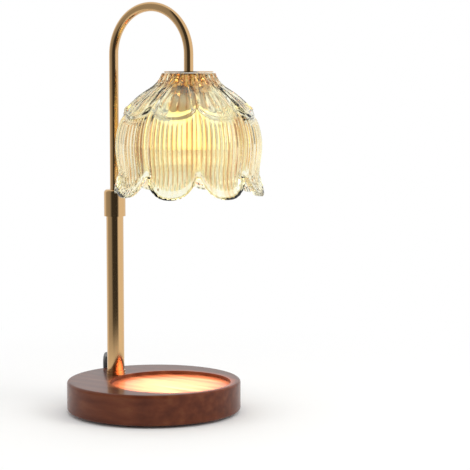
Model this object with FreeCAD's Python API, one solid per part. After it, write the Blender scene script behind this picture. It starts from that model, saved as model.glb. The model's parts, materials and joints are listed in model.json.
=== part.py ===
import FreeCAD, Part
import math
import os

V = FreeCAD.Vector

# Candle warmer lamp. Millimetres, +Z up, the origin on the floor under the middle of the base, +X from the post
# towards the candle.

# Base
base_diameter = 150.0
base_height = 26.0
base_edge_radius = 2.5
foot_height = 2.0
foot_diameter = 14.0
foot_circle = 114.0
foot_count = 6
seat_diameter = 103.5
seat_depth = 3.0
seat_offset = 18.0
pad_thickness = 1.0
pad_gap = 0.5
weight_diameter = 126.0
weight_thickness = 6.0
weight_clearance = 1.0
weight_screw_circle = 104.0
weight_screw_count = 3
weight_screw_diameter = 4.0
weight_screw_head = 7.6
weight_screw_head_height = 2.2
weight_screw_length = 9.0

# Post
post_offset = 42.5
post_diameter = 15.0
post_wall = 1.0
post_socket_depth = 8.0
post_rise = 148.0
foot_ring_width = 0.75
foot_ring_height = 4.0
foot_ring_groove = 0.4
anchor_length = 14.0
bolt_diameter = 6.0
bolt_head_diameter = 11.0
bolt_head_height = 2.8
bolt_grip = 6.0
washer_diameter = 14.0
washer_thickness = 1.0
shaft_fit = 0.06
turning_gap = 0.3

# Height lock at the top of the post
collar_diameter = 18.8
collar_below_post_top = 8.3
collar_height = 23.3
collar_edge_radius = 3.0
collar_roof = 2.4
ferrule_flange = 2.0
ferrule_stub = 7.0
ferrule_finger_height = 9.0
ferrule_finger_diameter = 12.0
ferrule_slot = 1.2
guide_length = 12.0
guide_below_ferrule = 1.0

# Arm
arm_diameter = 8.0
arm_wall = 0.8
arm_bend_radius = 40.5
arm_bend_height = 307.5
arm_foot_below_post_top = 48.0
slider_length = 14.0
slider_above_arm_foot = 3.0
clip_thickness = 1.0
clip_width = 1.4
clip_gap = 0.1
lead_diameter = 3.0
lead_tail = 8.0

# Shade holder and bulb
nipple_length = 16.0
nipple_above_cup = 8.0
locknut_diameter = 14.0
locknut_height = 3.0
cup_diameter = 35.6
cup_height = 20.0
cup_flange_inset = 0.6
cup_wall = 0.8
holder_diameter = 32.0
holder_height = 14.0
holder_bore = 10.0
gasket_thickness = 0.8
ring_height = 3.0
ring_width = 2.2
ring_below_rim = 4.2
bulb_base_diameter = 29.0
bulb_base_height = 16.0
bulb_reflector_height = 29.0
bulb_diameter = 50.0
bulb_wall = 1.2
reflector_waist_depth = 0.35
reflector_waist_reach = 0.62
bulb_lens_thickness = 2.0
bulb_pin_diameter = 5.0
bulb_pin_length = 8.0
bulb_pin_spacing = 10.0

# Glass shade: outer radius at distances below the neck's rim, down to the root of the lobes
neck_radius = 21.3
shade_below_bend = 15.5
shade_profile = [
    (neck_radius, 0.0),
    (23.4, 4.0),
    (26.6, 9.0),
    (33.0, 14.5),
    (40.5, 20.5),
    (47.0, 26.5),
    (52.0, 32.5),
    (55.6, 39.0),
    (58.2, 46.0),
    (59.6, 53.0),
    (60.0, 60.0),
    (59.8, 67.0),
    (59.0, 74.0),
    (58.0, 80.0),
]
notch_radius = 57.6
notch_drop = 85.5
lobe_radius = 62.6
lobe_drop = 104.0
lobe_count = 8
lobe_turn = 22.5
glass_wall = 3.0
lip_wall = 4.6
lobe_squareness = 2.2
lobe_roundness = 0.85
flare_power = 1.8
petal_lift = 1.8
petal_step = 1.6
petal_tip_drop = 36.5
petal_gap_drop = 26.0
petal_root_drop = 9.0
petal_rise = 8.0
petal_rows = 14
bell_rows = 22
sector_columns = 17

# Cord, its relief, coil and plug. Places behind the base are given sideways, backwards and up, where
# backwards is the way that the cord leaves the post.
back_angle = 128.3
cord_diameter = 4.6
exit_height = 12.0
exit_turn = 12.0
relief_length = 20.0
relief_root_diameter = 8.0
relief_tip_diameter = 5.6
relief_flange_diameter = 9.6
relief_flange_thickness = 1.4

lead_route = [
    (-39.07, 53.24, 40.0),
    (-42.8, 70.8, 40.0),
    (-44.2, 85.0, 29.5),
    (-43.6, 89.5, 13.0),
]
lead_join = 21.6
tail_join = 17.0
plug_entry = (44.7, 102.6, 7.0)
cord_rest_gap = 0.05

coil_centre = (-1.5, 118.5)
coil_outer_radius = 36.5
coil_pitch = 5.05
coil_first_angle = 170.0
coil_last_angle = 25.0
coil_whole_turns = 7

plug_heading = 160.0
plug_length = 34.0
plug_width = 24.0
plug_height = 14.0
plug_wall = 1.4
plug_corner = 4.0
plug_edge_radius = 1.2
blade_length = 16.0
blade_root = 5.0
blade_width = 6.3
blade_thickness = 1.5
blade_spacing = 12.7
wheel_diameter = 15.0
wheel_thickness = 3.6
wheel_proud = 1.2
wheel_place = 21.0
wheel_clearance = 0.5
wheel_notch_count = 24
wheel_notch_diameter = 0.9
axle_diameter = 3.0
button_diameter = 6.0
button_place = (9.0, -3.0)
button_proud = 1.0
button_flange = 1.2
button_flange_width = 1.0
button_clearance = 0.2
button_edge_radius = 0.5
spring_diameter = 4.4
spring_wall = 0.6
spring_fold_depth = 0.9
spring_folds = 3
board_thickness = 1.2
board_level = 3.0
board_margin = 0.8
board_corner = 1.0
plug_screw_diameter = 2.2
plug_screw_head = 4.0
plug_screw_boss = 5.2
plug_screw_places = [(5.5, 8.2), (25.5, -8.2)]

# Heights worked out from the sizes above
base_bottom = foot_height
base_top = foot_height + base_height
pad_bottom = foot_height
weight_pocket_depth = pad_thickness + pad_gap + weight_thickness
weight_bottom = base_bottom + pad_thickness + pad_gap
weight_top = base_bottom + weight_pocket_depth
screw_grip = weight_screw_length - weight_thickness + weight_screw_head_height
bolt_head_bottom = weight_top - washer_thickness - bolt_head_height
seat_floor = base_top - seat_depth
post_bottom = base_top - post_socket_depth
post_top = base_top + post_rise
arm_foot_height = post_top - arm_foot_below_post_top
slider_height = arm_foot_height + slider_above_arm_foot
neck_height = arm_bend_height - shade_below_bend
post_bore = post_diameter - 2 * post_wall
ferrule_top = post_top + ferrule_flange + ferrule_finger_height
collar_bottom = post_top - collar_below_post_top
collar_top = collar_bottom + collar_height
guide_top = post_top - ferrule_stub - guide_below_ferrule
shade_offset = 2 * arm_bend_radius - post_offset
cup_top = neck_height + gasket_thickness + cup_wall
arm_bore = arm_diameter - 2 * arm_wall
nipple_diameter = arm_bore
nipple_top = cup_top + nipple_above_cup
nipple_bottom = nipple_top - nipple_length
holder_top = cup_top - cup_wall - locknut_height
holder_bottom = holder_top - holder_height
bulb_top = holder_bottom
reflector_top = bulb_top - bulb_base_height
lens_top = reflector_top - bulb_reflector_height
exit_level = base_top + exit_height


def cylinder(x, y, z, diameter, height):
    return Part.makeCylinder(diameter / 2, height, V(x, y, z))


def tube(x, y, z, outer, inner, height):
    return cylinder(x, y, z, outer, height).cut(cylinder(x, y, z, inner, height))


def on_post(z, diameter, height):
    return cylinder(-post_offset, 0, z, diameter, height)


def on_shade(z, diameter, height):
    return cylinder(shade_offset, 0, z, diameter, height)


def around(diameter, count, first=0.0):
    for k in range(count):
        angle = math.radians(first + 360.0 * k / count)
        yield diameter / 2 * math.cos(angle), diameter / 2 * math.sin(angle)


def together(shapes):
    return Part.makeCompound(list(shapes))


def ring_edges(shape, height, radius):
    found = []
    for edge in shape.Edges:
        curve = edge.Curve
        if isinstance(curve, Part.Circle) and abs(curve.Center.z - height) < 1e-6:
            if abs(curve.Radius - radius) < 1e-6:
                found.append(edge)
    return found


# Base and what hangs under it

def wood_base():
    body = cylinder(0, 0, base_bottom, base_diameter, base_height)
    rims = ring_edges(body, base_top, base_diameter / 2) + ring_edges(body, base_bottom, base_diameter / 2)
    body = body.makeFillet(base_edge_radius, rims)
    body = body.cut(cylinder(seat_offset, 0, seat_floor, seat_diameter, seat_depth))
    pocket = cylinder(0, 0, base_bottom, weight_diameter + 2 * weight_clearance, weight_pocket_depth)
    body = body.cut(pocket)
    body = body.cut(on_post(post_bottom, post_diameter, post_socket_depth))
    body = body.cut(on_post(weight_top, bolt_diameter, base_height))
    for x, y in around(weight_screw_circle, weight_screw_count):
        body = body.cut(cylinder(x, y, weight_top, weight_screw_diameter, screw_grip))
    return body


def weight_plate():
    body = cylinder(0, 0, weight_bottom, weight_diameter, weight_thickness)
    body = body.cut(on_post(weight_bottom, washer_diameter + 2 * weight_clearance, weight_thickness))
    for x, y in around(weight_screw_circle, weight_screw_count):
        body = body.cut(cylinder(x, y, weight_bottom, weight_screw_diameter, weight_thickness))
        body = body.cut(cylinder(x, y, weight_bottom, weight_screw_head, weight_screw_head_height))
    return body


def weight_screws():
    for x, y in around(weight_screw_circle, weight_screw_count):
        head = cylinder(x, y, weight_bottom, weight_screw_head, weight_screw_head_height)
        shank = cylinder(x, y, weight_bottom, weight_screw_diameter, weight_screw_length)
        yield head.fuse(shank)


def base_pad():
    return cylinder(0, 0, pad_bottom, weight_diameter + 2 * weight_clearance, pad_thickness)


def rubber_feet():
    yield cylinder(0, 0, 0, foot_diameter, foot_height)
    for x, y in around(foot_circle - foot_diameter, foot_count, 0.0):
        yield cylinder(x, y, 0, foot_diameter, foot_height)


# Post and its fixing

def exit_direction():
    angle = math.radians(back_angle + exit_turn)
    return V(math.cos(angle), math.sin(angle), 0)


def along_exit(start, length, diameter):
    way = exit_direction()
    foot = V(-post_offset, 0, exit_level) + way * start
    return Part.makeCylinder(diameter / 2, length, foot, way)


def post_tube():
    body = tube(-post_offset, 0, post_bottom, post_diameter, post_bore, post_top - post_bottom)
    return body.cut(along_exit(0, post_diameter, relief_root_diameter))


def post_foot_ring():
    outer = post_diameter + 2 * foot_ring_width
    body = tube(-post_offset, 0, base_top, outer, post_diameter, foot_ring_height)
    groove_height = foot_ring_height / 5
    groove = tube(
        -post_offset, 0, base_top + 2 * groove_height, outer, outer - 2 * foot_ring_groove, groove_height
    )
    return body.cut(groove)


def post_anchor():
    return tube(-post_offset, 0, post_bottom, post_bore, bolt_diameter, anchor_length)


def post_washer():
    return tube(
        -post_offset, 0, weight_top - washer_thickness, washer_diameter, bolt_diameter, washer_thickness
    )


def post_bolt():
    head = on_post(bolt_head_bottom, bolt_head_diameter, bolt_head_height)
    shank_bottom = bolt_head_bottom + bolt_head_height
    shank = on_post(shank_bottom, bolt_diameter, post_bottom + bolt_grip - shank_bottom)
    return head.fuse(shank)


def cord_relief():
    way = exit_direction()
    start = V(-post_offset, 0, exit_level) + way * (post_diameter / 2 + relief_flange_thickness)
    cone = Part.makeCone(
        relief_root_diameter / 2, relief_tip_diameter / 2, relief_length - relief_flange_thickness, start, way
    )
    flange_foot = post_diameter / 2 - post_wall
    flange = along_exit(flange_foot, post_wall + relief_flange_thickness, relief_flange_diameter)
    plug = along_exit(post_bore / 2 - 2 * post_wall, 4 * post_wall, relief_root_diameter)
    flange = flange.cut(on_post(post_bottom, post_diameter, post_top - post_bottom))
    return cone.fuse([flange, plug]).removeSplitter()


# Height lock

def guide_bush():
    return tube(
        -post_offset, 0, guide_top - guide_length, post_bore, arm_diameter + 2 * shaft_fit, guide_length
    )


def lock_ferrule():
    body = on_post(post_top - ferrule_stub, post_bore, ferrule_stub)
    body = body.fuse(on_post(post_top, post_diameter, ferrule_flange))
    body = body.fuse(on_post(post_top + ferrule_flange, ferrule_finger_diameter, ferrule_finger_height))
    body = body.cut(on_post(0, arm_diameter + 2 * shaft_fit, ferrule_top))
    slot = Part.makeBox(
        2 * ferrule_finger_diameter,
        ferrule_slot,
        ferrule_finger_height,
        V(-post_offset - ferrule_finger_diameter, -ferrule_slot / 2, post_top + ferrule_flange),
    )
    for angle in (0, 90):
        cutter = slot.copy()
        cutter.rotate(V(-post_offset, 0, 0), V(0, 0, 1), angle)
        body = body.cut(cutter)
    return body.removeSplitter()


def lock_collar():
    body = on_post(collar_bottom, collar_diameter, collar_height)
    body = body.makeFillet(collar_edge_radius, ring_edges(body, collar_top, collar_diameter / 2))
    bore = post_diameter + 2 * turning_gap
    body = body.cut(on_post(collar_bottom, bore, collar_height - collar_roof))
    return body.cut(on_post(collar_bottom, arm_diameter + 2 * turning_gap, collar_height))


# Arm

def arm_path(low, high):
    start = V(-post_offset, 0, low)
    left = V(-post_offset, 0, arm_bend_height)
    top = V(-post_offset + arm_bend_radius, 0, arm_bend_height + arm_bend_radius)
    right = V(shade_offset, 0, arm_bend_height)
    end = V(shade_offset, 0, high)
    return Part.Wire(
        [
            Part.LineSegment(start, left).toShape(),
            Part.Arc(left, top, right).toShape(),
            Part.LineSegment(right, end).toShape(),
        ]
    )


def along_arm(diameter, low, high):
    profile = Part.Wire([Part.Circle(V(-post_offset, 0, low), V(0, 0, 1), diameter / 2).toShape()])
    return arm_path(low, high).makePipeShell([profile], True, False)


def arm_tube():
    outer = along_arm(arm_diameter, arm_foot_height, cup_top)
    return outer.cut(along_arm(arm_bore, arm_foot_height, cup_top))


def arm_lead():
    return along_arm(lead_diameter, arm_foot_height - lead_tail, holder_top)


def slider_bush():
    return tube(
        -post_offset,
        0,
        slider_height,
        post_bore - 2 * shaft_fit,
        arm_diameter + 2 * shaft_fit,
        slider_length,
    )


def slider_clips():
    outer = arm_diameter + 2 * clip_width
    yield tube(
        -post_offset, 0, slider_height - clip_gap - clip_thickness, outer, arm_diameter, clip_thickness
    )
    yield tube(-post_offset, 0, slider_height + slider_length + clip_gap, outer, arm_diameter, clip_thickness)


# Shade holder

def shade_nipple():
    body = on_shade(nipple_bottom, nipple_diameter, nipple_length)
    return body.cut(on_shade(nipple_bottom, lead_diameter, nipple_length))


def holder_cup():
    body = on_shade(cup_top - cup_wall, 2 * (neck_radius - cup_flange_inset), cup_wall)
    body = body.fuse(on_shade(cup_top - cup_height, cup_diameter, cup_height))
    hollow = on_shade(cup_top - cup_height, cup_diameter - 2 * cup_wall, cup_height - cup_wall)
    body = body.cut(hollow)
    return body.cut(on_shade(cup_top - cup_height, nipple_diameter, cup_height))


def cup_locknut():
    z = cup_top - cup_wall - locknut_height
    body = on_shade(z, locknut_diameter, locknut_height)
    return body.cut(on_shade(z, nipple_diameter, locknut_height))


def neck_gasket():
    outer = 2 * (neck_radius - cup_flange_inset)
    return tube(shade_offset, 0, neck_height, outer, cup_diameter, gasket_thickness)


def lamp_holder():
    body = on_shade(holder_bottom, holder_diameter, holder_height)
    for side in (-1, 1):
        x = shade_offset + side * bulb_pin_spacing / 2
        body = body.cut(cylinder(x, 0, holder_bottom, bulb_pin_diameter, bulb_pin_length))
    return body.cut(on_shade(holder_bottom + bulb_pin_length, holder_bore, holder_height))


def bulb_base():
    return on_shade(reflector_top, bulb_base_diameter, bulb_base_height)


def bulb_pins():
    for side in (-1, 1):
        x = shade_offset + side * bulb_pin_spacing / 2
        yield cylinder(x, 0, bulb_top, bulb_pin_diameter, bulb_pin_length)


def turned(points):
    corners = [V(shade_offset + x, 0, z) for x, z in points]
    face = Part.Face(Part.makePolygon(corners + corners[:1]))
    return face.revolve(V(shade_offset, 0, 0), V(0, 0, 1), 360)


def bulb_reflector():
    root = bulb_base_diameter / 2
    rim = bulb_diameter / 2
    throat = reflector_top - bulb_reflector_height * reflector_waist_depth
    waist = root + (rim - root) * reflector_waist_reach
    outer = [(root, reflector_top), (waist, throat), (rim, lens_top), (rim, lens_top - bulb_lens_thickness)]
    inner = [(x - bulb_wall, z - (bulb_wall if z == reflector_top else 0)) for x, z in reversed(outer)]
    return turned(outer + inner + [(0, reflector_top - bulb_wall), (0, reflector_top)])


def bulb_lens():
    return on_shade(lens_top - bulb_lens_thickness, bulb_diameter - 2 * bulb_wall, bulb_lens_thickness)


def shade_ring():
    z = neck_height - ring_below_rim - ring_height
    return tube(shade_offset, 0, z, cup_diameter + 2 * ring_width, cup_diameter, ring_height)


# Glass shade: eight equal sectors, each bounded by two notches

def lobe(angle):
    across = abs(angle) * lobe_count / math.pi
    return max(1 - across**lobe_squareness, 0.0) ** lobe_roundness


def smooth(x):
    x = min(max(x, 0.0), 1.0)
    return x * x * (3 - 2 * x)


def profile_radius(drop):
    for (r0, d0), (r1, d1) in zip(shade_profile, shade_profile[1:]):
        if drop <= d1:
            return r0 + (r1 - r0) * (drop - d0) / (d1 - d0)
    return shade_profile[-1][0]


def glass_point(angle, row, inner):
    rim = notch_drop + (lobe_drop - notch_drop) * lobe(angle)
    edge = petal_gap_drop + (petal_tip_drop - petal_gap_drop) * lobe(angle)
    lift = 0.0
    if row < petal_rows:
        drop = edge * row / (petal_rows - 1)
        lift = petal_lift * smooth((drop - petal_root_drop) / petal_rise)
    else:
        share = (row - petal_rows) / (bell_rows - 1)
        drop = edge + petal_step + (rim - edge - petal_step) * share
    root_radius, root_drop = shade_profile[-1]
    part = max((drop - root_drop) / (rim - root_drop), 0.0)
    rim_radius = notch_radius + (lobe_radius - notch_radius) * lobe(angle)
    r = profile_radius(drop) + (rim_radius - root_radius) * part**flare_power
    if inner:
        lift = -glass_wall - (lip_wall - glass_wall) * smooth(part)
    return r + lift, neck_height - drop


def glass_sector(middle, inner):
    half = math.pi / lobe_count
    grid = []
    for i in range(sector_columns):
        angle = half * (2 * i / (sector_columns - 1) - 1)
        line = []
        for row in range(petal_rows + bell_rows):
            r, z = glass_point(angle, row, inner)
            line.append(V(shade_offset + r * math.cos(angle + middle), r * math.sin(angle + middle), z))
        grid.append(line)
    surface = Part.BSplineSurface()
    surface.interpolate(grid)
    return surface.toShape()


def rim_edge(face, top):
    best = None
    for edge in face.Edges:
        middle = edge.valueAt((edge.FirstParameter + edge.LastParameter) / 2)
        ends = [edge.valueAt(p).z for p in (edge.FirstParameter, edge.LastParameter)]
        if abs(ends[0] - ends[1]) > 0.5:
            continue
        key = middle.z if top else -middle.z
        if best is None or key > best[0]:
            best = (key, edge)
    return best[1]


def glass_shade():
    faces = []
    for k in range(lobe_count):
        middle = math.radians(lobe_turn + 360.0 * k / lobe_count)
        outer = glass_sector(middle, False)
        inner = glass_sector(middle, True)
        faces += [outer, inner]
        for top in (True, False):
            faces.append(Part.makeRuledSurface(rim_edge(outer, top), rim_edge(inner, top)))
    shell = Part.makeShell(faces)
    shell.sewShape(0.01)
    shell = Part.Shell(shell.Faces)
    solid = Part.Solid(shell)
    solid.fix(0.01, 0.01, 0.01)
    if solid.Volume < 0:
        solid.reverse()
    return solid


# Cord: straight runs joined by tangent arcs

def behind(side, back, up):
    angle = math.radians(back_angle)
    right = V(math.sin(angle), -math.cos(angle), 0)
    away = V(math.cos(angle), math.sin(angle), 0)
    return right * side + away * back + V(0, 0, up)


def bend(before, corner, after):
    back = (before - corner).normalize()
    on = (after - corner).normalize()
    half_turn = (math.pi - back.getAngle(on)) / 2
    reach = 0.45 * min((before - corner).Length, (after - corner).Length)
    radius = reach / math.tan(half_turn)
    middle = (back + on).normalize()
    depth = radius / math.cos(half_turn) - radius
    return corner + back * reach, corner + middle * depth, corner + on * reach, radius


def cord_lead():
    landing = coil_state(0)
    route = [behind(*place) for place in lead_route]
    return cord_run("cord_lead", [*route, landing - coil_way(0) * lead_join, landing])


def cord_tail():
    leaving = coil_state(1)
    return cord_run("cord_tail", [leaving, leaving + coil_way(1) * tail_join, behind(*plug_entry)])


def cord_run(name, points):
    edges = []
    radii = []
    start = points[0]
    for before, corner, after in zip(points, points[1:], points[2:]):
        enter, middle, leave, radius = bend(before, corner, after)
        edges.append(Part.LineSegment(start, enter).toShape())
        edges.append(Part.Arc(enter, middle, leave).toShape())
        radii.append(round(radius, 1))
        start = leave
    edges.append(Part.LineSegment(start, points[-1]).toShape())
    return swept_cord(name, edges, points[0], points[1] - points[0], radii)


def swept_cord(name, edges, start, way, radii):
    path = Part.Wire(edges)
    profile = Part.Wire([Part.Circle(start, way, cord_diameter / 2).toShape()])
    body = path.makePipeShell([profile], True, False)
    share = body.Volume / (path.Length * math.pi * cord_diameter**2 / 4)
    print(name, "length", round(path.Length, 1), "volume share", round(share, 4), "least radius", min(radii))
    return body


def coil_state(share):
    first = math.radians(coil_first_angle)
    turn = first - math.radians(coil_last_angle) + 2 * math.pi * coil_whole_turns
    wound = share * turn
    angle = first - wound
    inward = min(wound, turn - wound) / (2 * math.pi)
    climb = smooth((wound - turn / 2) / math.pi + 0.5)
    radius = coil_outer_radius - coil_pitch * inward
    up = cord_diameter / 2 + cord_rest_gap + coil_pitch * climb
    side = coil_centre[0] + radius * math.cos(angle)
    back = coil_centre[1] + radius * math.sin(angle)
    return behind(side, back, up)


def coil_way(share):
    step = 1e-4
    low, high = max(share - step, 0.0), min(share + step, 1.0)
    return (coil_state(high) - coil_state(low)).normalize()


def biarc(start, start_way, end, end_way):
    gap = end - start
    ways = start_way + end_way
    square = 2 * (1 - start_way.dot(end_way))
    reach = (-gap.dot(ways) + math.sqrt(gap.dot(ways) ** 2 + square * gap.dot(gap))) / square
    first = start + start_way * reach
    last = end - end_way * reach
    joint = (first + last) * 0.5
    return [
        Part.Arc(start, on_arc(start, first, joint), joint).toShape(),
        Part.Arc(joint, on_arc(joint, last, end), end).toShape(),
    ]


def on_arc(start, corner, end):
    middle = (start + end) * 0.5
    half_chord = (end - start).Length / 2
    rise = (corner - middle).Length
    side = math.hypot(half_chord, rise)
    return middle + (corner - middle).normalize() * (half_chord * (side - half_chord) / rise)


def cord_coil():
    turn = coil_first_angle - coil_last_angle + 360.0 * coil_whole_turns
    count = round(turn / 90)
    edges = []
    for k in range(count):
        low, high = k / count, (k + 1) / count
        edges += biarc(coil_state(low), coil_way(low), coil_state(high), coil_way(high))
    least = min(edge.Curve.Radius for edge in edges)
    measure_coil_gap(edges)
    return swept_cord("cord_coil", edges, coil_state(0), coil_way(0), [least])


def measure_coil_gap(edges):
    points = []
    for edge in edges:
        points += edge.discretize(12)[:-1]
    half_turn = round(len(points) / (2 * coil_whole_turns))
    least = min((a - b).Length for i, a in enumerate(points) for b in points[i + half_turn :])
    print("cord_coil least gap to itself", round(least - cord_diameter, 2))


# Plug with a thumb wheel and a timer button, drawn lying along +X from the cord's entry, then put in its place

def rounded_box(length, width, height, corner, x=0.0, z=0.0):
    box = Part.makeBox(length, width, height, V(x, -width / 2, z))
    upright = [e for e in box.Edges if abs(e.Vertexes[0].Z - e.Vertexes[1].Z) > height / 2]
    return box.makeFillet(corner, upright)


def plug_wheel_centre():
    return wheel_place, plug_width / 2 + wheel_proud - wheel_diameter / 2


def plug_shell():
    body = rounded_box(plug_length, plug_width, plug_height, plug_corner)
    flat = [e for e in body.Edges if abs(e.BoundBox.ZMax - e.BoundBox.ZMin) < 1e-6]
    body = body.makeFillet(plug_edge_radius, flat)
    inner = rounded_box(
        plug_length - 2 * plug_wall,
        plug_width - 2 * plug_wall,
        plug_height - 2 * plug_wall,
        plug_corner - plug_wall,
        plug_wall,
        plug_wall,
    )
    body = body.cut(inner)
    x, y = plug_wheel_centre()
    middle = plug_height / 2
    slot = cylinder(
        x,
        y,
        middle - wheel_thickness / 2 - wheel_clearance,
        wheel_diameter + 2 * wheel_clearance,
        wheel_thickness + 2 * wheel_clearance,
    )
    body = body.cut(slot)
    hole = button_diameter + 2 * button_clearance
    body = body.cut(cylinder(button_place[0], button_place[1], middle, hole, plug_height))
    entry = Part.makeCylinder(cord_diameter / 2, 2 * plug_wall, V(-plug_wall, 0, middle), V(1, 0, 0))
    body = body.cut(entry)
    for side in (-1, 1):
        body = body.cut(blade(side))
    for x, y in plug_screw_places:
        body = body.fuse(cylinder(x, y, plug_wall, plug_screw_boss, plug_height - 2 * plug_wall))
        body = body.cut(cylinder(x, y, 0, plug_screw_diameter, plug_height - plug_wall))
        body = body.cut(cylinder(x, y, 0, plug_screw_head, plug_wall))
    return body


def half(body, top):
    middle = plug_height / 2
    span = 3 * plug_length
    z = middle if top else middle - span
    return body.common(Part.makeBox(span, span, span, V(-plug_length, -span / 2, z)))


def plug_top():
    return half(plug_shell(), True)


def plug_bottom():
    return half(plug_shell(), False)


def blade(side):
    y = side * blade_spacing / 2 - blade_thickness / 2
    z = plug_height / 2 - blade_width / 2
    box = Part.makeBox(blade_length + blade_root, blade_thickness, blade_width, V(plug_length - blade_root, y, z))
    tip = [e for e in box.Edges if e.BoundBox.XMin > plug_length and e.BoundBox.YMax - e.BoundBox.YMin > 0.5]
    return box.makeFillet(blade_width / 3, tip)


def plug_blades():
    return [blade(side) for side in (-1, 1)]


def plug_screws():
    for x, y in plug_screw_places:
        head = cylinder(x, y, 0, plug_screw_head, plug_wall)
        shank = cylinder(x, y, 0, plug_screw_diameter, plug_height - plug_wall)
        yield head.fuse(shank)


def dimmer_board():
    body = rounded_box(
        plug_length - 2 * (plug_wall + board_margin) - blade_root,
        plug_width - 2 * (plug_wall + board_margin),
        board_thickness,
        board_corner,
        plug_wall + board_margin,
        board_level,
    )
    x, y = plug_wheel_centre()
    body = body.cut(cylinder(x, y, board_level, axle_diameter, board_thickness))
    for x, y in plug_screw_places:
        body = body.cut(cylinder(x, y, board_level, plug_screw_boss, board_thickness))
    return body


def wheel_axle():
    x, y = plug_wheel_centre()
    return cylinder(x, y, plug_wall, axle_diameter, plug_height - 2 * plug_wall)


def dimmer_wheel():
    x, y = plug_wheel_centre()
    z = plug_height / 2 - wheel_thickness / 2
    body = tube(x, y, z, wheel_diameter, axle_diameter + 2 * shaft_fit, wheel_thickness)
    for dx, dy in around(wheel_diameter, wheel_notch_count):
        body = body.cut(cylinder(x + dx, y + dy, z, wheel_notch_diameter, wheel_thickness))
    return body


def timer_button():
    x, y = button_place
    ceiling = plug_height - plug_wall
    stem = cylinder(x, y, ceiling - button_flange, button_diameter, plug_wall + button_flange + button_proud)
    flange = cylinder(x, y, ceiling - button_flange, button_diameter + 2 * button_flange_width, button_flange)
    body = stem.fuse(flange)
    rim = ring_edges(body, plug_height + button_proud, button_diameter / 2)
    return body.makeFillet(button_edge_radius, rim)


def button_spring():
    x, y = button_place
    low = board_level + board_thickness
    height = plug_height - plug_wall - button_flange - low
    outside = []
    for k in range(2 * spring_folds + 1):
        radius = spring_diameter / 2 - (spring_fold_depth if k % 2 else 0)
        outside.append(V(radius, 0, low + height * k / (2 * spring_folds)))
    inside = [point - V(spring_wall, 0, 0) for point in reversed(outside)]
    outline = Part.makePolygon([*outside, *inside, outside[0]])
    body = Part.Face(outline).revolve(V(0, 0, 0), V(0, 0, 1), 360)
    body.translate(V(x, y, 0))
    return body


def in_plug_place(shape):
    placed = together(shape) if isinstance(shape, list) else shape.copy()
    placed.rotate(V(0, 0, 0), V(0, 0, 1), back_angle - plug_heading)
    side, back, up = plug_entry
    placed.translate(behind(side, back, 0))
    return placed


def groups():
    yield "wood_base", wood_base()
    yield "counterweight", weight_plate()
    yield "counterweight_screws", together(weight_screws())
    yield "base_pad", base_pad()
    yield "rubber_feet", together(rubber_feet())
    yield "post_tube", post_tube()
    yield "post_foot_ring", post_foot_ring()
    yield "post_anchor", post_anchor()
    yield "post_washer", post_washer()
    yield "post_bolt", post_bolt()
    yield "cord_relief", cord_relief()
    yield "guide_bush", guide_bush()
    yield "lock_ferrule", lock_ferrule()
    yield "lock_collar", lock_collar()
    yield "slider_bush", slider_bush()
    yield "slider_clips", together(slider_clips())
    yield "arm_tube", arm_tube()
    yield "arm_lead", arm_lead()
    yield "shade_nipple", shade_nipple()
    yield "cup_locknut", cup_locknut()
    yield "holder_cup", holder_cup()
    yield "lamp_holder", lamp_holder()
    yield "neck_gasket", neck_gasket()
    yield "shade_ring", shade_ring()
    yield "glass_shade", glass_shade()
    yield "bulb_base", bulb_base()
    yield "bulb_pins", together(bulb_pins())
    yield "bulb_reflector", bulb_reflector()
    yield "bulb_lens", bulb_lens()
    yield "cord_lead", cord_lead()
    yield "cord_coil", cord_coil()
    yield "cord_tail", cord_tail()
    yield "plug_top", in_plug_place(plug_top())
    yield "plug_bottom", in_plug_place(plug_bottom())
    yield "plug_blades", in_plug_place(plug_blades())
    yield "plug_screws", in_plug_place(list(plug_screws()))
    yield "dimmer_board", in_plug_place(dimmer_board())
    yield "wheel_axle", in_plug_place(wheel_axle())
    yield "dimmer_wheel", in_plug_place(dimmer_wheel())
    yield "timer_button", in_plug_place(timer_button())
    yield "button_spring", in_plug_place(button_spring())


os.makedirs("parts", exist_ok=True)
for name, shape in groups():
    shape.exportStep("parts/" + name + ".step")
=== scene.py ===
import json
import math

import bpy
import numpy as np
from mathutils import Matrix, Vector


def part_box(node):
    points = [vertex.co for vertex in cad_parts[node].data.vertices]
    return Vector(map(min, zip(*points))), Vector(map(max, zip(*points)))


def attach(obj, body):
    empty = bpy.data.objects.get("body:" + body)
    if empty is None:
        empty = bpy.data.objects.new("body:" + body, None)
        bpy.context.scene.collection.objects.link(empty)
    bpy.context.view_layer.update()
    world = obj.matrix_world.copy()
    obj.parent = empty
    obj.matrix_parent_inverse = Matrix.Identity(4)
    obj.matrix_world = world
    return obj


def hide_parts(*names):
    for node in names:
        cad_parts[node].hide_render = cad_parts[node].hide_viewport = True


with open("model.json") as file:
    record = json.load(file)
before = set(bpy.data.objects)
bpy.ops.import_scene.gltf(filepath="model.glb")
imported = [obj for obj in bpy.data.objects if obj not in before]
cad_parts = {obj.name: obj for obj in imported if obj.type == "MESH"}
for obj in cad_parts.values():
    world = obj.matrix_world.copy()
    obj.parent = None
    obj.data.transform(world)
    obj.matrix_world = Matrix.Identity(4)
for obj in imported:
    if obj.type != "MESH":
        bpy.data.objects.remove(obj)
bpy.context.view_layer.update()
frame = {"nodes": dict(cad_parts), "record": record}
nodes = frame["nodes"]

# Camera, as found from the outlines of the base, post and arm in the photograph
view_azimuth = math.radians(38.26)
camera_distance = 1.5
camera_height = 0.30616
camera_pan = math.radians(2.68)
camera_pitch = math.radians(5.82)
camera_focal_px = 1754.95
image_width_px = 470
sensor_width = 36.0

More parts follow.
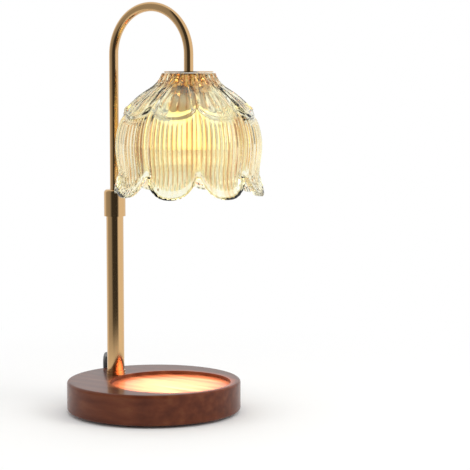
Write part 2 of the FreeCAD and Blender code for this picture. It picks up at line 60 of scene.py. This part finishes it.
# Glass shade, with heights above the floor
shade_profile = [
    (0.0213, 0.2920),
    (0.0234, 0.2880),
    (0.0266, 0.2830),
    (0.0330, 0.2775),
    (0.0405, 0.2715),
    (0.0470, 0.2655),
    (0.0520, 0.2595),
    (0.0556, 0.2530),
    (0.0582, 0.2460),
    (0.0596, 0.2390),
    (0.0600, 0.2320),
    (0.0598, 0.2250),
    (0.0590, 0.2180),
    (0.0580, 0.2120),
    (0.0575, 0.2060),
    (0.0573, 0.2000),
    (0.0575, 0.1940),
    (0.0578, 0.1898),
]
lobe_count = 8
lobe_turn = math.radians(22.5)
lobe_share = 0.90
lobe_squareness = 2.4
lobe_roundness = 0.80
lobe_flare = 0.0046
notch_rise = 0.0165
panel_groove = 0.0020
panel_groove_share = 0.24
groove_top_height = 0.272
groove_run = 0.012
flare_top_height = 0.212
flare_power = 1.8
flare_least = 0.35
glass_wall = 0.0028

# Petals over the bell, with places across one given as shares of the half sector
petal_tip_height = 0.2555
petal_gap_height = 0.2660
petal_root_height = 0.283
petal_root_run = 0.008
petal_lift = 0.0018
petal_step = 0.0016
petal_root_side = 0.62
petal_side_growth = 0.31
petal_side_rate = 1.5
petal_border_height = 0.0014
petal_border_place = 0.90
petal_border_width = 0.15
petal_border_from = 0.12
petal_border_rate = 4
petal_gap_depth = 0.0016
petal_gap_from = 1.02
petal_gap_rate = 9
petal_dish_depth = 0.0012
petal_dish_from = 0.3
petal_dish_rate = 3
petal_tip_ridge = 0.0012
petal_tip_place = 0.950
petal_tip_width = 0.05
fan_rib_height = 0.0008
fan_waves = 2.5
fan_place = 0.62
fan_reach = 0.36
# Painted shade: darker glass colour in the gaps between petals and in the valleys of their fan ribs
gap_painted_shade = 0.6
gap_painted_shade_from = 0.96
gap_painted_shade_width = 0.1
fan_valley_painted_shade = 0.9

# Ribs of the bell and of the neck, and the rolled lip at the rim
rib_count = 96
points_per_rib = 8
rib_height = 0.0016
rib_least = 0.25
rib_fade_from = 0.004
rib_fade_run = 0.012
# Power of the painted shade in the valleys between the bell's ribs
rib_start_rate = 14
rib_valley_painted_shade_power = 1.5
neck_rib_count = 32
neck_rib_height = 0.0012
neck_rib_foot_height = 0.2790
neck_rib_run = 0.006
lip_above_rim = 0.0020
lip_reach = 0.0040
lip_out = 0.0019
lip_in = 0.0009
# Point attribute that carries the painted shade of the glass's creases, and how strongly it darkens
# the colour
painted_shade_name = "painted_shade"
painted_shade_strength = 0.55
petal_rows = 34
bell_rows = 44

# Cord behind the base, given sideways, backwards and up from the base's centre
back_angle = math.radians(128.3)
cord_diameter = 0.0046
cord_rest_gap = 0.00005
lead_route = [
    (-0.03907, 0.05324, 0.0400),
    (-0.04280, 0.07080, 0.0400),
    (-0.04420, 0.08500, 0.0295),
    (-0.04360, 0.08950, 0.0130),
]
lead_join = 0.0216
tail_join = 0.0170
plug_entry = (0.0447, 0.1026, 0.0070)
coil_centre = (-0.0015, 0.1185)
coil_outer_radius = 0.0365
coil_pitch = 0.00505
coil_first_angle = math.radians(170.0)
coil_last_angle = math.radians(25.0)
coil_whole_turns = 7
coil_points_per_turn = 36

seat_centre_x = 0.018

# Light. Shiny surfaces see the studio levels, at angles around the lamp with the camera's side at 0,
# and glass sees the strips. Each side light has a turn, distance, height, power and size.
world_fill = 0.80
studio_levels = [
    (-180, 1.0),
    (-116, 0.95),
    (-100, 0.50),
    (-52, 0.40),
    (-32, 0.06),
    (30, 0.05),
    (48, 1.05),
    (180, 1.0),
]
strip_count = 9
strip_level = 0.30
strip_slope = 1.6
strip_offset = 1.8
lit_middle = (0.0, 0.0, 0.17)
side_lights = [
    ("key_light", 62, 1.5, 0.95, 9.0, (0.7, 1.2)),
    ("fill_light", -70, 1.7, 0.70, 4.0, (0.6, 1.1)),
]
top_light_place = (0.0, 0.1, 1.7)
top_light_power = 4.0
top_light_size = 1.2
bulb_light_power = 70.0
bulb_light_gap = 0.004
bulb_light_angle = math.radians(32)
bulb_light_radius = 0.005
floor_radius = 9.0
floor_steps = 96
floor_white_from = 0.15
floor_white_to = 0.50


def smooth(x):
    x = np.clip(x, 0.0, 1.0)
    return x * x * (3 - 2 * x)


def bump(x):
    return np.clip(1 - x * x, 0.0, 1.0) ** 2


# Materials

def material(name, color, roughness, metallic=0.0, **sockets):
    made = bpy.data.materials.new(name)
    made.use_nodes = True
    shader = made.node_tree.nodes["Principled BSDF"]
    shader.inputs["Base Color"].default_value = (*color, 1.0)
    shader.inputs["Roughness"].default_value = roughness
    shader.inputs["Metallic"].default_value = metallic
    for key, value in sockets.items():
        shader.inputs[key.replace("_", " ")].default_value = value
    return made


class Tree:
    """A node tree with short calls for nodes, links, sums, ramps and noise."""

    def __init__(self, tree):
        self.tree = tree

    def node(self, kind, **inputs):
        node = self.tree.nodes.new(kind)
        for key, value in inputs.items():
            node.inputs[key].default_value = value
        return node

    def link(self, start, end):
        self.tree.links.new(start, end)

    def shader_input(self, name):
        return self.tree.nodes["Principled BSDF"].inputs[name]

    def calc(self, operation, *values):
        node = self.node("ShaderNodeMath")
        node.operation = operation
        for socket, value in zip(node.inputs, values):
            if isinstance(value, (int, float)):
                socket.default_value = value
            else:
                self.link(value, socket)
        return node.outputs["Value"]

    def mixed(self, share, low, high):
        return self.calc("ADD", low, self.calc("MULTIPLY", share, self.calc("SUBTRACT", high, low)))

    def ramp(self, source, stops):
        node = self.node("ShaderNodeValToRGB")
        points = node.color_ramp.elements
        points[0].position, points[0].color = stops[0][0], (*stops[0][1], 1.0)
        points[-1].position, points[-1].color = stops[-1][0], (*stops[-1][1], 1.0)
        for place, color in stops[1:-1]:
            points.new(place).color = (*color, 1.0)
        self.link(source, node.inputs["Fac"])
        return node.outputs["Color"]

    def noise(self, stretch, scale, detail):
        """A noise texture over the object's own coordinates, stretched by stretch."""
        place = self.node("ShaderNodeTexCoord")
        mapping = self.node("ShaderNodeMapping", Scale=stretch)
        noise = self.node("ShaderNodeTexNoise", Scale=scale, Detail=detail)
        self.link(place.outputs["Object"], mapping.inputs["Vector"])
        self.link(mapping.outputs["Vector"], noise.inputs["Vector"])
        return noise.outputs["Fac"]

    def bump(self, source, strength, distance):
        node = self.node("ShaderNodeBump", Strength=strength, Distance=distance)
        self.link(source, node.inputs["Height"])
        self.link(node.outputs["Normal"], self.shader_input("Normal"))

    def towards(self, vector, way):
        node = self.node("ShaderNodeVectorMath")
        node.operation = "DOT_PRODUCT"
        node.inputs[1].default_value = way
        self.link(vector, node.inputs[0])
        return node.outputs["Value"]

    def turn(self, vector):
        """The angle of a vector around the lamp, with the camera's own side at 0."""
        front = self.towards(vector, (math.sin(view_azimuth), -math.cos(view_azimuth), 0.0))
        side = self.towards(vector, (math.cos(view_azimuth), math.sin(view_azimuth), 0.0))
        return self.calc("ARCTAN2", side, front)

    def studio_level(self, turn):
        share = self.calc("DIVIDE", self.calc("ADD", turn, math.pi), 2 * math.pi)
        stops = [((degrees + 180) / 360, (level,) * 3) for degrees, level in studio_levels]
        return self.ramp(share, stops)


def brass():
    made = material("satin_brass", (0.66, 0.42, 0.20), 0.11, 1.0)
    tree = Tree(made.node_tree)
    brushing = tree.noise(stretch=(1, 1, 40), scale=260.0, detail=2.0)
    tree.bump(brushing, strength=0.02, distance=0.0001)
    return made


def walnut():
    made = material(
        "dark_wood", (0.12, 0.035, 0.02), 0.45, 0.0,
        Specular_IOR_Level=0.05, Coat_Weight=0.55, Coat_Roughness=0.13, Coat_IOR=1.34,
    )
    tree = Tree(made.node_tree)
    grain = tree.noise(stretch=(5, 44, 44), scale=3.0, detail=5.0)
    tone = tree.ramp(
        grain,
        [(0.30, (0.075, 0.016, 0.006)), (0.55, (0.112, 0.027, 0.010)), (0.75, (0.150, 0.044, 0.017))],
    )
    tree.link(tone, tree.shader_input("Base Color"))
    tree.bump(grain, strength=0.05, distance=0.0004)
    return made


def amber_glass():
    made = material(
        "amber_glass", (1.0, 0.98, 0.88), 0.02, 0.0, Transmission_Weight=1.0, IOR=1.48
    )
    tree = Tree(made.node_tree)
    # Random streaks give the glass's own tone; the attribute read below adds painted shade, darker
    # amber in the valleys between ribs and petals
    streaks = tree.noise(stretch=(9, 9, 1), scale=14.0, detail=3.0)
    painted_shade = tree.node("ShaderNodeAttribute")
    painted_shade.attribute_name = painted_shade_name
    tone = tree.ramp(
        tree.calc("MULTIPLY_ADD", painted_shade.outputs["Fac"], painted_shade_strength, streaks),
        [
            (0.42, (1.0, 0.997, 0.86)),
            (0.58, (1.0, 0.960, 0.65)),
            (0.78, (0.96, 0.62, 0.30)),
            (1.0, (0.55, 0.22, 0.09)),
        ],
    )
    tree.link(tone, tree.shader_input("Base Color"))
    return made


materials = {
    "satin_brass": brass(),
    "dark_wood": walnut(),
    "amber_glass": amber_glass(),
    "steel": material("steel", (0.45, 0.45, 0.47), 0.35, 1.0),
    "black_foam": material("black_foam", (0.02, 0.02, 0.02), 0.95),
    "black_rubber": material("black_rubber", (0.018, 0.018, 0.018), 0.55),
    "white_nylon": material("white_nylon", (0.80, 0.79, 0.75), 0.45),
    "clear_lead": material("clear_lead", (0.72, 0.66, 0.50), 0.3),
    "white_ceramic": material("white_ceramic", (0.86, 0.72, 0.58), 0.25),
    "silicone": material("silicone", (0.78, 0.72, 0.62), 0.4),
    "reflector_glass": material(
        "reflector_glass", (0.95, 0.86, 0.55), 0.15, 0.6,
        Emission_Color=(1.0, 0.90, 0.45, 1.0), Emission_Strength=0.8,
    ),
    "lens_glass": material(
        "lens_glass", (1.0, 0.96, 0.85), 0.2, 0.0,
        Emission_Color=(1.0, 0.90, 0.60, 1.0), Emission_Strength=2.5,
    ),
    "black_pvc": material("black_pvc", (0.016, 0.016, 0.017), 0.38),
    "black_plastic": material("black_plastic", (0.022, 0.022, 0.023), 0.5),
    "nickel": material("nickel", (0.72, 0.70, 0.66), 0.22, 1.0),
    "board": material("board", (0.03, 0.16, 0.07), 0.4),
    "grey_plastic": material("grey_plastic", (0.10, 0.10, 0.105), 0.45),
}


def dress(piece, slot):
    piece.data.materials.clear()
    piece.data.materials.append(materials[slot])


for part in frame["record"]["subparts"]:
    dress(nodes[part["node"]], part["material_slot"])


def add_mesh(name, points, faces, slot, body):
    mesh = bpy.data.meshes.new(name)
    mesh.from_pydata(points, [], faces)
    mesh.polygons.foreach_set("use_smooth", [True] * len(mesh.polygons))
    mesh.update()
    piece = bpy.data.objects.new(name, mesh)
    bpy.context.scene.collection.objects.link(piece)
    piece.data.materials.append(materials[slot])
    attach(piece, body)
    return piece


# Glass shade: a ribbed bell with a tier of petals over it, and lobes with rolled lips

cup_low, cup_high = (Vector(corner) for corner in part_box("holder_cup"))
shade_axis_x = (cup_low.x + cup_high.x) / 2
neck_height = shade_profile[0][1]
lobe_height = shade_profile[-1][1]
profile_heights = np.array([height for radius, height in shade_profile])
profile_radii = np.array([radius for radius, height in shade_profile])
profile_curve = np.polynomial.Polynomial.fit(profile_heights, profile_radii, 9)


def lobe(across):
    return np.clip(1 - np.abs(across / lobe_share) ** lobe_squareness, 0.0, 1.0) ** lobe_roundness


def petal_side(share):
    """The petal's half width at a share of the way from its root to its tip."""
    return petal_root_side + petal_side_growth * smooth(share * petal_side_rate)


def fan_wave(place):
    return np.abs(np.cos(fan_waves * math.pi * place))


def petal_relief(across, share):
    """The spoon-shaped face of a petal: a raised border, a dished middle and a fan of ribs."""
    side = petal_side(share)
    place = np.abs(across) / side
    border_run = bump((place - petal_border_place) / petal_border_width)
    border = petal_border_height * border_run * smooth((share - petal_border_from) * petal_border_rate)
    gap = -petal_gap_depth * smooth((place - petal_gap_from) * petal_gap_rate)
    dish_start = smooth((share - petal_dish_from) * petal_dish_rate)
    dish = -petal_dish_depth * bump(across / side) * dish_start
    fan = fan_rib_height * fan_wave(across / side) * bump((share - fan_place) / fan_reach)
    tip = petal_tip_ridge * bump((share - petal_tip_place) / petal_tip_width) * (place < 1)
    return border + gap + dish + fan * (place < petal_border_place) + tip


def petal_painted_shade(across, share):
    """Painted shade: glass coloured darker between the petals and in the valleys between a petal's
    ribs.
    """
    side = petal_side(share)
    place = np.abs(across) / side
    gap = gap_painted_shade * smooth((place - gap_painted_shade_from) / gap_painted_shade_width)
    valley = (1 - fan_wave(across / side)) ** 2 * bump((share - fan_place) / fan_reach)
    return gap + fan_valley_painted_shade * valley * (place < petal_border_place)


def glass_surface(inner):
    """Rows of points from the neck to the rim, with the share of painted shade at each point."""
    column_count = rib_count * points_per_rib
    angle = np.arange(column_count) * 2 * math.pi / column_count
    sector = 2 * math.pi / lobe_count
    across = ((angle - lobe_turn + sector / 2) % sector - sector / 2) / (sector / 2)
    rim = lobe_height + notch_rise * (1 - lobe(across))
    edge = petal_gap_height + (petal_tip_height - petal_gap_height) * lobe(across * lobe_share)
    groove = panel_groove * (1 - smooth((1 - np.abs(across)) / panel_groove_share))
    rows = []
    painted_shades = []
    for row in range(petal_rows + bell_rows):
        if row < petal_rows:
            share = row / (petal_rows - 1)
            height = neck_height + (edge - neck_height) * share
        else:
            share = (row - petal_rows) / (bell_rows - 1)
            height = edge - petal_step + (rim - edge + petal_step) * share
        radius = profile_curve(height)
        flare_share = np.clip((flare_top_height - height) / (flare_top_height - rim), 0.0, 1.0)
        flare = lobe_flare * flare_share**flare_power
        radius = radius + flare * (flare_least + (1 - flare_least) * lobe(across))
        lip = bump((height - rim - lip_above_rim) / lip_reach)
        if row >= petal_rows or inner:
            radius = radius - groove * smooth((groove_top_height - height) / groove_run)
        painted_shade = np.zeros(column_count)
        if inner:
            radius = radius - glass_wall - lip_in * lip
        elif row < petal_rows:
            neck_share = smooth((height - neck_rib_foot_height) / neck_rib_run)
            neck_crest = np.abs(np.cos(neck_rib_count / 2 * angle))
            neck_ribs = neck_rib_height * neck_crest * neck_share
            # Painted shade: darker colour in the valleys between the neck's ribs and in the gaps and
            # fan valleys of the petals
            painted_shade = (1 - neck_crest) * neck_share + petal_painted_shade(across, share) * (1 - neck_share)
            lift = petal_lift * smooth((petal_root_height - height) / petal_root_run)
            radius = radius + lift + neck_ribs + petal_relief(across, share)
        else:
            above_lip = smooth((height - rim - rib_fade_from) / rib_fade_run)
            fade = rib_least + (1 - rib_least) * above_lip
            start = smooth(share * rib_start_rate)
            crest = np.abs(np.cos(rib_count / 2 * angle))
            ribs = rib_height * crest * fade
            # Painted shade: darker colour in the valleys between the bell's ribs
            painted_shade = (1 - crest) ** rib_valley_painted_shade_power * fade * start
            radius = radius + ribs * start + lip_out * lip
        x = shade_axis_x + radius * np.cos(angle)
        y = radius * np.sin(angle)
        rows.append(np.stack([x, y, np.broadcast_to(height, x.shape)], axis=1))
        painted_shades.append(painted_shade)
    return np.array(rows), np.array(painted_shades)


def ring_faces(row_a, row_b, count):
    following = [(k + 1) % count for k in range(count)]
    return [(row_a + k, row_a + after, row_b + after, row_b + k) for k, after in enumerate(following)]


def glass_shade():
    outer, outer_painted_shade = glass_surface(inner=False)
    inner, inner_painted_shade = glass_surface(inner=True)
    grid = np.concatenate([outer, inner[::-1]])
    row_count, column_count = grid.shape[:2]
    faces = []
    for row in range(row_count):
        following = (row + 1) % row_count
        faces += ring_faces(row * column_count, following * column_count, column_count)
    points = grid.reshape(-1, 3).tolist()
    faces = [face[::-1] for face in faces]
    piece = add_mesh("ribbed_glass_shade", points, faces, "amber_glass", "arm")
    # Stores the painted shade of the creases as a point attribute for the glass colour
    painted_shade = piece.data.attributes.new(painted_shade_name, "FLOAT", "POINT")
    painted_shade.data.foreach_set("value", np.concatenate([outer_painted_shade, inner_painted_shade[::-1]]).ravel())
    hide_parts("glass_shade")
    return piece


shade_piece = glass_shade()


# Cord from the post to the plug

def behind(side, back, up):
    right = Vector((math.sin(back_angle), -math.cos(back_angle), 0))
    away = Vector((math.cos(back_angle), math.sin(back_angle), 0))
    return right * side + away * back + Vector((0, 0, up))


def coil_point(share):
    turn = coil_first_angle - coil_last_angle + 2 * math.pi * coil_whole_turns
    wound = share * turn
    angle = coil_first_angle - wound
    inward = min(wound, turn - wound) / (2 * math.pi)
    climb = float(smooth((wound - turn / 2) / math.pi + 0.5))
    radius = coil_outer_radius - coil_pitch * inward
    up = cord_diameter / 2 + cord_rest_gap + coil_pitch * climb
    side = coil_centre[0] + radius * math.cos(angle)
    back = coil_centre[1] + radius * math.sin(angle)
    return behind(side, back, up)


def cord_route():
    turns = (coil_first_angle - coil_last_angle) / (2 * math.pi) + coil_whole_turns
    count = round(turns * coil_points_per_turn)
    coil = [coil_point(k / count) for k in range(count + 1)]
    landing_way = (coil_point(1e-4) - coil[0]).normalized()
    leaving_way = (coil[-1] - coil_point(1 - 1e-4)).normalized()
    lead = [behind(*place) for place in lead_route]
    before = coil[0] - landing_way * lead_join
    after = coil[-1] + leaving_way * tail_join
    return [*lead, before, *coil, after, behind(*plug_entry)]


def mains_cord():
    route = cord_route()
    curve = bpy.data.curves.new("mains_cord", "CURVE")
    curve.dimensions = "3D"
    curve.bevel_depth = cord_diameter / 2
    curve.bevel_resolution = 4
    curve.resolution_u = 3
    curve.use_fill_caps = True
    spline = curve.splines.new("NURBS")
    spline.points.add(len(route) - 1)
    for point, place in zip(spline.points, route):
        point.co = (*place, 1.0)
    spline.order_u = 3
    spline.use_endpoint_u = True
    piece = bpy.data.objects.new("mains_cord", curve)
    bpy.context.scene.collection.objects.link(piece)
    curve.materials.append(materials["black_pvc"])
    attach(piece, "root")
    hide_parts("cord_lead", "cord_coil", "cord_tail")


mains_cord()


# Floor, world and lights

def floor():
    """A pale floor that takes the shadow and fades into the studio's own levels away from the lamp."""
    points = [(0.0, 0.0, 0.0)]
    for k in range(floor_steps):
        angle = 2 * math.pi * k / floor_steps
        points.append((floor_radius * math.cos(angle), floor_radius * math.sin(angle), 0.0))
    faces = [(0, 1 + k, 1 + (k + 1) % floor_steps) for k in range(floor_steps)]
    mesh = bpy.data.meshes.new("floor")
    mesh.from_pydata(points, [], faces)
    piece = bpy.data.objects.new("floor", mesh)
    bpy.context.scene.collection.objects.link(piece)
    made = material("pale_floor", (0.94, 0.94, 0.935), 0.9)
    tree = Tree(made.node_tree)
    place = tree.node("ShaderNodeTexCoord").outputs["Object"]
    reach = tree.node("ShaderNodeVectorMath")
    reach.operation = "LENGTH"
    tree.link(place, reach.inputs[0])
    far = tree.node("ShaderNodeMapRange", **{"From Min": floor_white_from, "From Max": floor_white_to})
    far.interpolation_type = "SMOOTHSTEP"
    tree.link(reach.outputs["Value"], far.inputs["Value"])
    rays = tree.node("ShaderNodeLightPath").outputs
    seen = tree.calc("MAXIMUM", rays["Is Camera Ray"], rays["Is Glossy Ray"])
    seen = tree.calc("MAXIMUM", seen, rays["Is Transmission Ray"])
    level = tree.mixed(rays["Is Glossy Ray"], 1.0, tree.studio_level(tree.turn(place)))
    glow = tree.node("ShaderNodeEmission")
    tree.link(level, glow.inputs["Strength"])
    both = tree.node("ShaderNodeMixShader")
    tree.link(tree.calc("MULTIPLY", far.outputs["Result"], seen), both.inputs["Fac"])
    tree.link(made.node_tree.nodes["Principled BSDF"].outputs["BSDF"], both.inputs[1])
    tree.link(glow.outputs["Emission"], both.inputs[2])
    tree.link(both.outputs["Shader"], made.node_tree.nodes["Material Output"].inputs["Surface"])
    mesh.materials.append(made)


def studio_world():
    """White for the camera, even for matt surfaces, with dark cards for metal and strips for glass."""
    world = bpy.data.worlds.new("studio")
    bpy.context.scene.world = world
    world.use_nodes = True
    world.node_tree.nodes.clear()
    tree = Tree(world.node_tree)
    turn = tree.turn(tree.node("ShaderNodeTexCoord").outputs["Generated"])
    rays = tree.node("ShaderNodeLightPath").outputs
    wave = tree.calc("COSINE", tree.calc("MULTIPLY", turn, strip_count))
    between = tree.calc("MULTIPLY_ADD", wave, strip_slope, strip_offset)
    strips = tree.calc("MAXIMUM", tree.calc("MINIMUM", between, 1.0), strip_level)
    level = tree.mixed(rays["Is Glossy Ray"], world_fill, tree.studio_level(turn))
    level = tree.mixed(rays["Is Transmission Ray"], level, strips)
    level = tree.mixed(rays["Is Camera Ray"], level, 1.0)
    light = tree.node("ShaderNodeBackground", Color=(1.0, 1.0, 1.0, 1.0))
    tree.link(level, light.inputs["Strength"])
    tree.link(light.outputs["Background"], tree.node("ShaderNodeOutputWorld").inputs["Surface"])


def add_light(name, kind, place, target, power, color=(1.0, 1.0, 1.0), **settings):
    lamp = bpy.data.lights.new(name, kind)
    lamp.energy = power
    lamp.color = color
    for key, value in settings.items():
        setattr(lamp, key, value)
    piece = bpy.data.objects.new(name, lamp)
    bpy.context.scene.collection.objects.link(piece)
    piece.location = place
    piece.rotation_euler = (Vector(target) - Vector(place)).to_track_quat("-Z", "Y").to_euler()
    piece.visible_glossy = False
    return piece


def around_view(turn, distance, height):
    angle = view_azimuth + math.radians(turn)
    return Vector((math.sin(angle) * distance, -math.cos(angle) * distance, height))


def lights():
    for name, turn, distance, height, power, (width, tall) in side_lights:
        place = around_view(turn, distance, height)
        add_light(name, "AREA", place, lit_middle, power, shape="RECTANGLE", size=width, size_y=tall)
    add_light(
        "top_light", "AREA", top_light_place, lit_middle, top_light_power,
        shape="DISK", size=top_light_size,
    )
    lens_low, lens_high = (Vector(corner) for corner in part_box("bulb_lens"))
    lens = (lens_low + lens_high) / 2
    start = (lens.x, lens.y, lens_low.z - bulb_light_gap)
    bulb_light = add_light(
        "bulb_light", "SPOT", start, (seat_centre_x, 0.0, 0.0), bulb_light_power, (1.0, 0.98, 0.98),
        spot_size=bulb_light_angle, spot_blend=1.0, shadow_soft_size=bulb_light_radius,
    )
    bulb_light.parent = shade_piece
    lit = bpy.data.collections.new("lit_by_the_bulb")
    for piece in (nodes["wood_base"], nodes["post_tube"], nodes["post_foot_ring"], shade_piece):
        lit.objects.link(piece)
    bulb_light.light_linking.receiver_collection = lit


def add_camera():
    camera = bpy.data.cameras.new("camera")
    camera.sensor_width = sensor_width
    camera.lens = camera_focal_px / image_width_px * sensor_width
    piece = bpy.data.objects.new("camera", camera)
    bpy.context.scene.collection.objects.link(piece)
    piece.location = around_view(0, camera_distance, camera_height)
    piece.rotation_euler = (math.pi / 2 - camera_pitch, 0, view_azimuth - camera_pan)
    bpy.context.scene.camera = piece


floor()
studio_world()
lights()
add_camera()
bpy.context.scene.view_settings.view_transform = "Standard"
